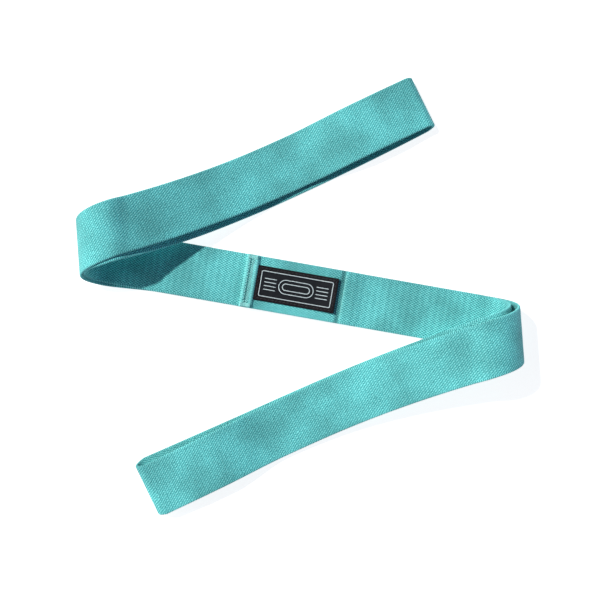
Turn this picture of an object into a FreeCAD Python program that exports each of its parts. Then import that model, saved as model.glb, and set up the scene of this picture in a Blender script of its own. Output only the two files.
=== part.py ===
import FreeCAD, Part
import math
import os

import Sketcher

# A long fabric resistance band: one loop of woven elastic webbing, pressed to two plies,
# laid out flat and folded over twice into a Z.
#
# The frame is in millimetres with +Z up and the floor at z = 0. The middle run lies along X
# with its label face up. At its left end it folds up and over into the upper run, and at its
# right end into the lower run. The outer ply is the outside of both folds: it is the lower ply
# of the middle run and the upper ply of the other two. The plies join in a hairpin at the far
# end of each outer run.
#
# The webbing is one strip on the real band. Here it is cut where a fold or a stretch joint
# moves it. Each length is a hollow woven jacket with its own rubber strands inside.

DIMENSIONS = [
    # alias, value, what it is
    ("band_width", 45.0, "width of the webbing"),
    ("web_thickness", 2.2, "thickness of one ply"),
    ("ply_gap", 0.3, "air between two plies that lie on each other"),
    ("joint_gap", 0.3, "air between lengths of webbing on different bodies"),
    ("cavity_width", 41.4, "width of the hollow that holds the rubber strands"),
    ("cavity_thickness", 1.1, "height of that hollow"),
    ("strand_size", 0.8, "side of one square-cut rubber strand"),
    ("strand_pitch", 3.6, "distance between strands"),
    ("label_x", -3.15, "middle of the label, along X"),
    ("label_y", 6.86, "middle of the label, along Y"),
    ("left_reach", 155.8, "label middle to the start of the left fold"),
    ("right_reach", 160.6, "label middle to the start of the right fold"),
    ("fold_turn", 28.2, "angle between the middle run and an outer run, degrees"),
    ("left_fold_radius", 24.4, "left fold, middle of the outer ply"),
    ("right_fold_radius", 25.8, "right fold, middle of the outer ply"),
    ("right_inner_radius", 21.2, "right fold, middle of the inner ply, which is slack"),
    ("middle_heading", 34.4, "heading of an outer run halfway along, degrees"),
    ("end_heading", 36.1, "heading of an outer run at its far end, degrees"),
    ("upper_length", 279.0, "left fold to the hairpin of the upper run"),
    ("lower_length", 301.6, "right fold to the hairpin of the lower run"),
    ("upper_end_height", 13.0, "height of the outer ply at the upper hairpin"),
    ("lower_end_height", 17.0, "height of the outer ply at the lower hairpin"),
    ("upper_end_shift", -2.5, "sideways step of the webbing in the upper hairpin"),
    ("lower_end_shift", -5.0, "sideways step of the webbing in the lower hairpin"),
    ("upper_bow", -2.0, "sideways bow of the inner ply in the upper run"),
    ("lower_bow", 3.0, "sideways bow of the inner ply in the lower run"),
    ("sag_power", 0.64, "how early a run drops after its fold, 1 is evenly"),
    ("touch_height", 5.6, "height of the outer ply where the plies come together"),
    ("upper_touch", 168.0, "left fold to that place"),
    ("lower_touch", 192.0, "right fold to that place"),
    ("open_run", 60.0, "length over which the plies then part for the hairpin"),
    ("upper_slack", 0.48, "part of the upper run after which its inner ply is down"),
    ("lower_slack", 0.62, "part of the lower run after which its inner ply is down"),
    ("end_leg", 24.0, "straight legs of each hairpin"),
    ("seam_left", 45.5, "label middle to the turned edge of the seam"),
    ("seam_right", 41.5, "label middle to the cut end under the seam"),
    ("turned_edge", 9.0, "webbing turned under at the seam"),
    ("turned_ramp", 2.0, "length over which the seam steps down from the turned edge"),
    ("joggle_run", 12.0, "length over which the seam steps down to a single ply"),
    ("label_length", 69.0, "label patch, along the run"),
    ("label_width", 29.6, "label patch, across the run"),
    ("label_thickness", 1.6, "label patch"),
    ("label_corner", 0.8, "corner radius of the label patch"),
    ("frame_inset", 3.8, "edge of the label to its raised frame"),
    ("frame_corner", 1.6, "outer corner radius of the raised frame"),
    ("line_width", 1.1, "width of the raised lines"),
    ("relief_height", 0.4, "height of the raised lines"),
    ("emblem_length", 30.0, "largest loop of the emblem, end to end"),
    ("emblem_radius", 6.2, "end radius of the largest loop of the emblem"),
    ("emblem_bar", 12.0, "length of the bars beside the loops"),
    ("emblem_pitch", 3.1, "distance between raised lines of the emblem"),
    ("thread_size", 0.6, "diameter of the sewing thread"),
    ("stitch_length", 2.4, "length of one stitch"),
    ("stitch_pitch", 3.2, "distance between stitches"),
    ("bartack_length", 7.2, "bar of dense stitches at each end of the turned edge"),
    ("bartack_width", 3.2, "width of that bar"),
    ("bartack_pitch", 0.8, "distance between the stitches of the bar"),
]

STRANDS = 11
TURN_STEPS = 8
RUN_STEPS = 20
RIGID_STEPS = 10
EMBLEM_LOOPS = 2
EMBLEM_BARS = 4
SMALL = 1e-3

doc = FreeCAD.newDocument("ResistanceBand")
sheet = doc.addObject("Spreadsheet::Sheet", "Sizes")
for row, (alias, number, meaning) in enumerate(DIMENSIONS, start=1):
    sheet.set(f"A{row}", meaning)
    sheet.set(f"B{row}", str(number))
    sheet.setAlias(f"B{row}", alias)
doc.recompute()

UP = FreeCAD.Vector(0, 0, 1)
subparts = []


def size(alias):
    return float(getattr(sheet, alias))


def heading_vector(degrees):
    angle = math.radians(degrees)
    return FreeCAD.Vector(math.cos(angle), math.sin(angle), 0)


def left_of(direction):
    return FreeCAD.Vector(-direction.y, direction.x, 0)


def smooth_step(x):
    x = min(max(x, 0.0), 1.0)
    return x * x * (3 - 2 * x)


# ---------------------------------------------------------------- layout of the band


class Section:
    """A cut across the webbing: its middle, its width direction, the direction of its
    thickness, and how many times wider than the webbing it is, because a cut along a fold
    is oblique."""

    def __init__(self, middle, across, normal, stretch=1.0):
        self.middle = middle
        self.across = across
        self.normal = normal
        self.stretch = stretch

    def placement(self):
        x, y, o = self.across, self.normal, self.middle
        z = x.cross(y)
        matrix = FreeCAD.Matrix(x.x, y.x, z.x, o.x, x.y, y.y, z.y, o.y, x.z, y.z, z.z, o.z)
        return FreeCAD.Placement(matrix)

    def wire(self, offset, width, thickness):
        """A rectangle on the section, its middle moved across by offset."""
        corners = []
        for x, y in ((-0.5, -0.5), (0.5, -0.5), (0.5, 0.5), (-0.5, 0.5)):
            point = self.middle + self.across * (offset * self.stretch + x * width)
            corners.append(point + self.normal * (y * thickness))
        return Part.makePolygon(corners + corners[:1])


class Fold:
    """A half turn of the webbing about a level axis. start is where the band's middle line
    begins to rise, outward points away from the band and along is the axis direction."""

    def __init__(self, start, heading, heading_after):
        before = heading_vector(heading)
        after = heading_vector(heading_after)
        self.start = start
        self.outward = (before - after).normalize()
        self.along = (before + after).normalize()
        self.slope = before.dot(self.along) / before.dot(self.outward)
        self.stretch = 1 / before.dot(self.outward)

    def section(self, radius, low, angle):
        """The cut at an angle, in radians, around the fold from the middle run."""
        middle = self.start + self.outward * (radius * math.sin(angle))
        middle += self.along * (radius * angle * self.slope)
        middle += UP * (low + radius * (1 - math.cos(angle)))
        inward = UP * math.cos(angle) - self.outward * math.sin(angle)
        return Section(middle, self.along, inward, self.stretch)

    def sections(self, radius, low):
        """Cuts around the whole fold, which stops a joint gap short of the outer run."""
        last = math.pi - size("joint_gap") / radius
        return [self.section(radius, low, last * i / TURN_STEPS) for i in range(TURN_STEPS + 1)]

    def exit(self, radius, low):
        """The cut where the outer run begins, level and right way up."""
        cut = self.section(radius, low, math.pi)
        return Section(cut.middle, cut.across, UP, self.stretch)


def arc_end(point, heading, turn, length, part):
    """The point and heading part of the way along a level arc that turns by turn degrees."""
    angle = math.radians(heading)
    bend = math.radians(turn)
    last = angle + bend * part
    step = FreeCAD.Vector(math.sin(last) - math.sin(angle), math.cos(angle) - math.cos(last), 0)
    return point + step * (length / bend), heading + turn * part


class Run:
    """An outer run: two tangent arcs in plan, from the fold to the hairpin."""

    def __init__(self, start, length, flip):
        self.length = length
        self.start = FreeCAD.Vector(start.x, start.y, 0)
        first, second, last = size("fold_turn"), size("middle_heading"), size("end_heading")
        self.bends = [(first + flip, second - first), (second + flip, last - second)]

    def plan(self, distance):
        """The point in plan and the heading at a distance from the fold."""
        half = self.length / 2
        heading, turn = self.bends[0]
        if distance <= half:
            return arc_end(self.start, heading, turn, half, distance / half)
        middle, heading = arc_end(self.start, heading, turn, half, 1)
        return arc_end(middle, heading, self.bends[1][1], half, distance / half - 1)

    def section(self, distance, height, offset=0.0, rise=0.0):
        point, heading = self.plan(distance)
        along = heading_vector(heading)
        side = left_of(along)
        normal = (UP - along * rise).normalize()
        return Section(point + side * offset + UP * height, side, normal)

    def sections(self, first, low_height, settled, end_height, end_offset, bow):
        """Cuts from the fold's exit to the hairpin. The ply drops from the height of the
        first cut to low_height, where it arrives at the distance settled, and then rises
        to end_height."""
        reach = self.length - size("end_leg") - size("joint_gap")
        lead = size("band_width") / 4
        drop = first.middle.z - low_height
        shift = (first.middle - self.start).dot(left_of(heading_vector(self.bends[0][0])))

        def height(distance):
            fallen = drop * smooth_step((distance / settled) ** size("sag_power"))
            risen = (end_height - low_height) * smooth_step((distance - settled) / size("open_run"))
            return first.middle.z - fallen + risen

        cuts = [first]
        for i in range(RUN_STEPS + 1):
            distance = lead + (reach - lead) * i / RUN_STEPS
            part = distance / self.length
            offset = shift * (1 - part) + end_offset * part + bow * 4 * part * (1 - part)
            rise = (height(distance + SMALL) - height(distance - SMALL)) / (2 * SMALL)
            cuts.append(self.section(distance, height(distance), offset, rise))
        return cuts

    def hairpin(self, upper, lower, shift):
        """Cuts along the outer ply's leg, around the end of the loop and back."""
        radius = (upper - lower) / 2
        leg = self.length - size("end_leg")
        cuts = [self.section(leg, upper)]
        point, heading = self.plan(self.length)
        along = heading_vector(heading)
        for i in range(TURN_STEPS + 1):
            angle = math.pi * i / TURN_STEPS
            middle = point + along * (radius * math.sin(angle))
            middle += left_of(along) * (shift * i / TURN_STEPS)
            middle += UP * (lower + radius * (1 + math.cos(angle)))
            outward = along * math.sin(angle) + UP * math.cos(angle)
            cuts.append(Section(middle, left_of(along), outward))
        last = self.section(leg, lower, shift)
        cuts.append(Section(last.middle, last.across, UP * -1))
        return cuts


# ---------------------------------------------------------------- making the pieces


def origin_plane(body, role):
    for feature in body.Origin.OriginFeatures:
        if feature.Role == role:
            return feature
    raise RuntimeError(f"{body.Label} has no {role}")


def new_body(label):
    body = doc.addObject("PartDesign::Body", label)
    body.Label = label
    subparts.append(body)
    return body


def new_sketch(body, name, placement):
    sketch = body.newObject("Sketcher::SketchObject", name)
    sketch.AttachmentSupport = [(origin_plane(body, "XY_Plane"), "")]
    sketch.MapMode = "FlatFace"
    sketch.AttachmentOffset = placement
    return sketch


def draw_rectangle(sketch, width, thickness, width_now, thickness_now):
    """A rectangle centred on the sketch's origin, its sides bound to expressions."""
    corners = [(-0.5, -0.5), (0.5, -0.5), (0.5, 0.5), (-0.5, 0.5)]
    points = [FreeCAD.Vector(x * width_now, y * thickness_now, 0) for x, y in corners]
    first = sketch.GeometryCount
    for i in range(4):
        sketch.addGeometry(Part.LineSegment(points[i], points[(i + 1) % 4]))
    for i in range(4):
        sketch.addConstraint(Sketcher.Constraint("Coincident", first + i, 2, first + (i + 1) % 4, 1))
    for i in (0, 2):
        sketch.addConstraint(Sketcher.Constraint("Horizontal", first + i))
        sketch.addConstraint(Sketcher.Constraint("Vertical", first + i + 1))
    sketch.addConstraint(Sketcher.Constraint("Symmetric", first, 1, first + 1, 2, -1, 1))
    wide = sketch.addConstraint(Sketcher.Constraint("DistanceX", first, 1, first, 2, width_now))
    high = sketch.addConstraint(Sketcher.Constraint("DistanceY", first + 1, 1, first + 1, 2, thickness_now))
    sketch.setExpression(f"Constraints[{wide}]", width)
    sketch.setExpression(f"Constraints[{high}]", thickness)


def loft(body, kind, sections, width, thickness, ruled):
    """An additive or subtractive loft through a rectangle on each section."""
    sketches = []
    for i, section in enumerate(sections):
        sketch = new_sketch(body, f"{kind}Section{i}", section.placement())
        draw_rectangle(
            sketch,
            f"Sizes.{width} * {section.stretch:.6f}",
            f"Sizes.{thickness}",
            size(width) * section.stretch,
            size(thickness),
        )
        sketches.append(sketch)
    feature = body.newObject(f"PartDesign::{kind}Loft", f"{kind}Loft")
    feature.Profile = sketches[0]
    feature.Sections = sketches[1:]
    feature.Ruled = ruled


def add_group(label, solids):
    """Several separate solids of one kind in one sub-part."""
    group = doc.addObject("Part::Feature", label)
    group.Label = label
    group.Shape = Part.makeCompound(solids)
    group.Placement = FreeCAD.Placement()
    subparts.append(group)


def add_webbing(label, sections, ruled=False):
    """A length of webbing: a hollow woven jacket and the rubber strands inside it."""
    body = new_body(label + "_webbing")
    loft(body, "Additive", sections, "band_width", "web_thickness", ruled)
    loft(body, "Subtractive", sections, "cavity_width", "cavity_thickness", ruled)
    side = size("strand_size")
    strands = []
    for i in range(STRANDS):
        offset = (i - (STRANDS - 1) / 2) * size("strand_pitch")
        wires = [section.wire(offset, side, side) for section in sections]
        strands.append(Part.makeLoft(wires, True, ruled))
    add_group(label + "_rubber", strands)


def rounded_bar(start, direction, length):
    """One visible stitch: a bar of thread with round ends."""
    radius = size("thread_size") / 2
    bar = Part.makeCylinder(radius, length, start, direction)
    for end in (start, start + direction * length):
        bar = bar.fuse(Part.makeSphere(radius, end))
    return bar.removeSplitter()


def stitch_row(start, direction, length):
    """Stitches in a line, centred on its length."""
    pitch = size("stitch_pitch")
    stitch = size("stitch_length") - size("thread_size")
    count = int(length // pitch)
    lead = (length - (count - 1) * pitch - stitch) / 2
    return [rounded_bar(start + direction * (lead + pitch * i), direction, stitch) for i in range(count)]


# ---------------------------------------------------------------- the webbing

pitch_of_plies = size("web_thickness") + size("ply_gap")
outer_level = size("web_thickness") / 2
inner_level = outer_level + pitch_of_plies
seam_level = inner_level + pitch_of_plies
turned_level = seam_level + pitch_of_plies
label_x, label_y = size("label_x"), size("label_y")
turn = size("fold_turn")

left_fold = Fold(FreeCAD.Vector(label_x - size("left_reach"), label_y, 0), 180, turn)
right_fold = Fold(FreeCAD.Vector(label_x + size("right_reach"), label_y, 0), 0, turn + 180)
ACROSS = FreeCAD.Vector(0, 1, 0)


def fold_cut(fold, level):
    """The oblique cut of the middle run at the start of a fold."""
    across = fold.along if fold.along.y > 0 else fold.along * -1
    return Section(fold.start + UP * level, across, UP, fold.stretch)


def square_cut(x, level):
    return Section(FreeCAD.Vector(x, label_y, level), ACROSS, UP)


def seam_sections():
    """The end of the webbing that lies on top in the seam: its edge is turned under, then it
    passes under the label and steps down to the level of the inner ply."""
    left = label_x - size("seam_left")
    bend = size("web_thickness") / 2 + size("ply_gap") / 2
    turn_x = left + bend + size("web_thickness") / 2
    flat_x = left + size("turned_edge")
    step_x = label_x + size("seam_right") + size("ply_gap") * 4
    cuts = [Section(FreeCAD.Vector(flat_x, label_y, seam_level), ACROSS, UP * -1)]
    for i in range(TURN_STEPS + 1):
        angle = math.pi * i / TURN_STEPS
        point = FreeCAD.Vector(turn_x - bend * math.sin(angle), label_y, 0)
        point.z = seam_level + bend * (1 - math.cos(angle))
        normal = FreeCAD.Vector(-math.sin(angle), 0, -math.cos(angle))
        cuts.append(Section(point, ACROSS, normal))
    cuts.append(square_cut(flat_x, turned_level))
    cuts.append(square_cut(flat_x + size("turned_ramp"), seam_level))
    cuts.append(square_cut(step_x, seam_level))
    cuts.append(square_cut(step_x + size("joggle_run"), inner_level))
    return cuts


seam_cuts = seam_sections()
tail_x = label_x + size("seam_right")
outer_cuts = [
    fold_cut(left_fold, outer_level),
    square_cut(label_x - size("seam_left"), outer_level),
    square_cut(tail_x, outer_level),
    fold_cut(right_fold, outer_level),
]
inner_left_cuts = [fold_cut(left_fold, inner_level), square_cut(tail_x, inner_level)]
inner_right_cuts = [seam_cuts[-1], fold_cut(right_fold, inner_level)]
add_webbing("middle_outer", outer_cuts, ruled=True)
add_webbing("middle_inner_left", inner_left_cuts, ruled=True)
add_webbing("seam_overlap", seam_cuts, ruled=True)
add_webbing("middle_inner_right", inner_right_cuts, ruled=True)


def add_outer_run(name, fold, outer_radius, inner_radius, flip):
    """A fold, its outer run and the hairpin at the far end. The half of the run next to the
    hairpin is the stretch length, which grows as the hairpin is pulled away."""
    add_webbing(f"{name}_fold_outer", fold.sections(outer_radius, outer_level))
    add_webbing(f"{name}_fold_inner", fold.sections(inner_radius, inner_level))
    outer_exit = fold.exit(outer_radius, outer_level)
    inner_exit = fold.exit(inner_radius, inner_level)
    run = Run(outer_exit.middle, size(f"{name}_length"), flip)
    end_height = size(f"{name}_end_height")
    end_shift = size(f"{name}_end_shift")
    touch = size("touch_height")
    down = run.length * size(f"{name}_slack")
    bow = size(f"{name}_bow")
    plies = {
        "outer": run.sections(outer_exit, touch, size(f"{name}_touch"), end_height, 0, 0),
        "inner": run.sections(inner_exit, outer_level, down, outer_level, end_shift, bow),
    }
    for ply, cuts in plies.items():
        add_webbing(f"{name}_run_{ply}", cuts[: RIGID_STEPS + 2], ruled=True)
        add_webbing(f"{name}_stretch_{ply}", cuts[RIGID_STEPS + 1 :], ruled=True)
    add_webbing(f"{name}_hairpin", run.hairpin(end_height, outer_level, end_shift), ruled=True)


nested = size("left_fold_radius") - pitch_of_plies
add_outer_run("upper", left_fold, size("left_fold_radius"), nested, 0)
add_outer_run("lower", right_fold, size("right_fold_radius"), size("right_inner_radius"), 180)


# ---------------------------------------------------------------- stitching and label

thread_lift = size("thread_size") / 2
turned_top = turned_level + size("web_thickness") / 2
seam_top = seam_level + size("web_thickness") / 2
patch_top = seam_top + size("label_thickness")
band_edge = size("band_width") / 2


def add_seam_stitches():
    """Two rows along the turned edge and one over the cut end below."""
    clear = size("bartack_width") + size("thread_size")
    length = size("band_width") - 2 * clear
    left = label_x - size("seam_left")
    rows = [
        (left + size("turned_edge") * 0.35, turned_top),
        (left + size("turned_edge") * 0.8, turned_top),
        (label_x + size("seam_right") - size("bartack_width") / 2, seam_top),
    ]
    stitches = []
    for x, top in rows:
        start = FreeCAD.Vector(x, label_y - length / 2, top + thread_lift)
        stitches += stitch_row(start, ACROSS, length)
    add_group("seam_stitches", stitches)


def add_bartacks():
    """A dense bar of stitches at each selvedge, on the turned edge."""
    pitch = size("bartack_pitch")
    width = size("bartack_width") - size("thread_size")
    first = label_x - size("seam_left") + size("turned_edge") - size("bartack_length")
    count = int(size("bartack_length") // pitch)
    stitches = []
    for y in (label_y - band_edge + size("thread_size"), label_y + band_edge - size("bartack_width")):
        for i in range(count):
            start = FreeCAD.Vector(first + pitch * i, y, turned_top + thread_lift)
            stitches.append(rounded_bar(start, ACROSS, width))
    add_group("seam_bartacks", stitches)


def level_placement(height):
    return FreeCAD.Placement(FreeCAD.Vector(label_x, label_y, height), FreeCAD.Rotation())


def pad(body, sketch, alias):
    feature = body.newObject("PartDesign::Pad", "Pad")
    feature.Profile = sketch
    feature.setExpression("Length", f"Sizes.{alias}")
    doc.recompute()
    return feature


def round_corners(body, feature, alias, reach):
    """Fillets the upright edges that stand at least reach from the label's middle."""
    names = []
    for i, edge in enumerate(feature.Shape.Edges, start=1):
        middle = edge.CenterOfMass
        upright = abs(edge.tangentAt(edge.FirstParameter).z) > 0.9
        if upright and abs(middle.x - label_x) > reach:
            names.append(f"Edge{i}")
    fillet = body.newObject("PartDesign::Fillet", "Fillet")
    fillet.Base = (feature, names)
    fillet.setExpression("Radius", f"Sizes.{alias}")


def add_label_patch():
    body = new_body("label_patch")
    sketch = new_sketch(body, "Outline", level_placement(seam_top))
    length, width = size("label_length"), size("label_width")
    draw_rectangle(sketch, "Sizes.label_length", "Sizes.label_width", length, width)
    round_corners(body, pad(body, sketch, "label_thickness"), "label_corner", 0)


def add_label_frame():
    """The raised line around the face of the label."""
    body = new_body("label_frame")
    sketch = new_sketch(body, "Line", level_placement(patch_top))
    length, width = size("label_length"), size("label_width")
    for extra, expression in ((0, ""), (size("line_width"), " - 2 * Sizes.line_width")):
        less = 2 * (size("frame_inset") + extra)
        draw_rectangle(
            sketch,
            "Sizes.label_length - 2 * Sizes.frame_inset" + expression,
            "Sizes.label_width - 2 * Sizes.frame_inset" + expression,
            length - less,
            width - less,
        )
    feature = pad(body, sketch, "relief_height")
    outside = length / 2 - size("frame_inset") - size("line_width") / 2
    round_corners(body, feature, "frame_corner", outside)


def stadium(length, radius):
    """A level face with straight sides and round ends."""
    half = length / 2 - radius
    corners = [(-half, -radius), (half, -radius), (half, radius), (-half, radius)]
    a, b, c, d = [FreeCAD.Vector(x, y, 0) for x, y in corners]
    right = Part.Arc(b, FreeCAD.Vector(half + radius, 0, 0), c).toShape()
    left = Part.Arc(d, FreeCAD.Vector(-half - radius, 0, 0), a).toShape()
    return Part.Face(Part.Wire([Part.makeLine(a, b), right, Part.makeLine(c, d), left]))


def add_label_emblem():
    """A plain emblem: nested loops with level bars on both sides."""
    line = size("line_width")
    rise = UP * size("relief_height")
    pitch = size("emblem_pitch")
    solids = []
    for i in range(EMBLEM_LOOPS):
        length = size("emblem_length") - 2 * pitch * i
        radius = size("emblem_radius") - pitch * i
        ring = stadium(length, radius).cut(stadium(length - 2 * line, radius - line))
        solids.append(ring.extrude(rise))
    for side in (-1, 1):
        x = side * (size("emblem_length") / 2 + pitch + size("emblem_bar") / 2 - line)
        for i in range(EMBLEM_BARS):
            bar = stadium(size("emblem_bar"), line / 2)
            y = (i - (EMBLEM_BARS - 1) / 2) * pitch
            bar.translate(FreeCAD.Vector(x, y, 0))
            solids.append(bar.extrude(rise))
    for solid in solids:
        solid.translate(FreeCAD.Vector(label_x, label_y, patch_top))
    add_group("label_emblem", solids)


def add_label_stitches():
    """The thread that holds the patch, sewn all the way round near its edge."""
    inset = size("frame_inset") / 2
    half_length = size("label_length") / 2 - inset
    half_width = size("label_width") / 2 - inset
    middle = FreeCAD.Vector(label_x, label_y, patch_top + thread_lift)
    stitches = []
    for heading, half, other in ((0, half_length, half_width), (90, half_width, half_length)):
        along = heading_vector(heading)
        for side in (-1, 1):
            start = middle - along * half + left_of(along) * (side * other)
            margin = size("stitch_pitch") / 4
            stitches += stitch_row(start + along * margin, along, 2 * half - 2 * margin)
    add_group("label_stitches", stitches)


add_seam_stitches()
add_bartacks()
add_label_patch()
add_label_frame()
add_label_emblem()
add_label_stitches()

# ---------------------------------------------------------------- checks and files

doc.recompute()
for item in doc.Objects:
    if "Invalid" in item.State or "Error" in item.State:
        raise RuntimeError(f"{item.Label} failed: {item.State}")
os.makedirs("parts", exist_ok=True)
for item in subparts:
    if item.Shape.isNull() or not item.Shape.isValid():
        raise RuntimeError(f"{item.Label} has no valid shape")
    item.Shape.exportStep(f"parts/{item.Label}.step")
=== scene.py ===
import math

import bpy
import numpy as np
from mathutils import Matrix, Vector


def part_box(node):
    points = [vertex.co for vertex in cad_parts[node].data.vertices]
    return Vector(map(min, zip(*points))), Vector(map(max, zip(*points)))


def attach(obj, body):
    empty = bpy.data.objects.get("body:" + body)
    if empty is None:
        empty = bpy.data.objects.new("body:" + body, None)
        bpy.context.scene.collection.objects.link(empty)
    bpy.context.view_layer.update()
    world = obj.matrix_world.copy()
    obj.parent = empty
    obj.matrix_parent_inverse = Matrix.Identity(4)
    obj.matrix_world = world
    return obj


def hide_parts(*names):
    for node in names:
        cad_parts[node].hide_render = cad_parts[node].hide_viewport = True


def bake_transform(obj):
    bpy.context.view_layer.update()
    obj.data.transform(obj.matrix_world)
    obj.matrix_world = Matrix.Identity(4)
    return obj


# The looks of a long fabric resistance band, laid flat and folded over at both ends.
#
# Shapes are worked out in millimetres and stored in metres. Each length of webbing is a closed
# ribbon swept along the band's own path: the middle run lies along X with the label on top, a
# fold lifts each end of it up and over, and each outer run ends in a hairpin where its two
# plies join. "s" runs along the strip and "v" across it, as they would on the flat webbing.

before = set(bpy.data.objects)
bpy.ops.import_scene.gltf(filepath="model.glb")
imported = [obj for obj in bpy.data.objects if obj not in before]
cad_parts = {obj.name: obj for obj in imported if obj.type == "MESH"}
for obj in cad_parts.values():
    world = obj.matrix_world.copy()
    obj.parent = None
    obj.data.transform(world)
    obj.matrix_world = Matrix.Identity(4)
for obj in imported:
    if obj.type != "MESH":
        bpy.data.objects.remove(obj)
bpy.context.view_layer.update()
MM = 0.001

# ---------------------------------------------------------------- sizes, as in the CAD

WIDTH = 45.0
THICK = 2.2
PLY_GAP = 0.3
OUTER_LEVEL = THICK / 2
INNER_LEVEL = OUTER_LEVEL + THICK + PLY_GAP
SEAM_LEVEL = INNER_LEVEL + THICK + PLY_GAP
TURNED_LEVEL = SEAM_LEVEL + THICK + PLY_GAP
FOLD_TURN = 28.2       # heading of an outer run as it leaves its fold, in degrees
MIDDLE_HEADING = 34.4  # halfway along it
END_HEADING = 36.1     # and at its end
END_LEG = 24.0         # last part of an outer run, which moves as one with its hairpin
SAG_POWER = 0.64       # below 1, so a run drops most just after its fold
TOUCH_HEIGHT = 5.6     # height of an outer ply where the run is flattest
OPEN_RUN = 60.0        # length over which the two plies part again
END_DROOP = 2.5        # height an outer ply loses just before the hairpin
DROOP_RUN = 34.0       # and the length over which it is lost
SEAM_LEFT = 45.5       # from the label's middle to the turned edge
SEAM_RIGHT = 41.5      # and to the cut end
TURNED_EDGE = 9.0
DESCENT = 18.0         # length over which the strip comes down off the cut end
DESCENT_START = 1.2    # how far past the cut end it starts down
SEAM_REACH = 31.2      # how far past the cut end the seam's path starts

patch_low, patch_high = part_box("label_patch")
LABEL_X = (patch_low.x + patch_high.x) / 2 / MM
LABEL_Y = (patch_low.y + patch_high.y) / 2 / MM
LABEL_LENGTH = (patch_high.x - patch_low.x) / MM
LABEL_WIDTH = (patch_high.y - patch_low.y) / MM
LABEL_TOP = patch_high.z / MM
LABEL_BASE = patch_low.z / MM
LABEL_CORNER = 0.8
LABEL_BORDER = 3.5     # ribbed border of the label
LABEL_CURL = 1.8       # how far the label's right edge stands off the webbing
CURL_START = 10.0      # where the curl begins, from the label's middle
LABEL_STEP = 0.26      # spacing of the points on the label's face
LABEL_RIM = 1.05       # width of the strip along its edge where they are closer
LABEL_ROUND = 0.55     # rounding of its upper edge
FIELD_DEPTH = 0.12
RIB_HEIGHT = 0.17
RIB_PITCH = 1.65
RIB_SLANT = (0.78, 0.62)
FRAME_INSET = 3.8
LINE_WIDTH = 0.70      # raised lines of the frame and the emblem
LINE_HEIGHT = 0.40
LINE_FOOT = 0.2        # depth to which they go into the label
EMBLEM = (30.0, 6.2, 12.0, 3.1)  # length and end radius of the largest loop, bars, pitch

STATION = 0.4          # spacing of the cuts along a ribbon
SELVEDGE_PITCH = 1.52  # loops of the filling yarn along the selvedge
SELVEDGE_LOOP = 0.18
FLAT_POINTS = 30       # points across each face of a ribbon
ROUND_POINTS = 7       # points around each selvedge
EXIT_BLEND = 20.0      # length over which a run leaves its fold
CUT_AFTER_FOLD = 12.0  # where a fold's ribbon meets its run's
FACE_CHANGE = (6.0, 30.0)  # start, past the hairpin, and length of the change of face
SLOPE_STEP = 0.05      # for working out the direction square to a surface
DRIFT_SPAN = ((-45.0, 55.0, 95.0, 60.0), (25.0, 45.0, 190.0, 80.0))  # start, rise, end, fall
FOLD_HEADINGS = {"upper": (180.0, FOLD_TURN), "lower": (0.0, FOLD_TURN + 180.0)}

SIDES = {
    "upper": {
        "reach": 155.8, "radii": (24.4, 21.9), "length": 279.0, "end_height": 12.0,
        "end_shift": -2.5, "bow": -2.0, "slack": 0.48, "touch": 168.0,
        "drift": (2.8, 1.6), "squeeze": (1.0, 1.0),
    },
    "lower": {
        "reach": 160.6, "radii": (25.8, 21.2), "length": 301.6, "end_height": 14.5,
        "end_shift": -5.0, "bow": 3.0, "slack": 0.62, "touch": 192.0,
        "drift": (0.0, 0.0), "squeeze": (1.0, 0.90),
    },
}

# ---------------------------------------------------------------- paths


def heading_vector(degrees):
    angle = math.radians(degrees)
    return np.array([math.cos(angle), math.sin(angle)])


def smooth_step(x):
    x = np.clip(x, 0.0, 1.0)
    return x * x * (3 - 2 * x)


def unit(vectors):
    return vectors / np.linalg.norm(vectors, axis=-1, keepdims=True)


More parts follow.
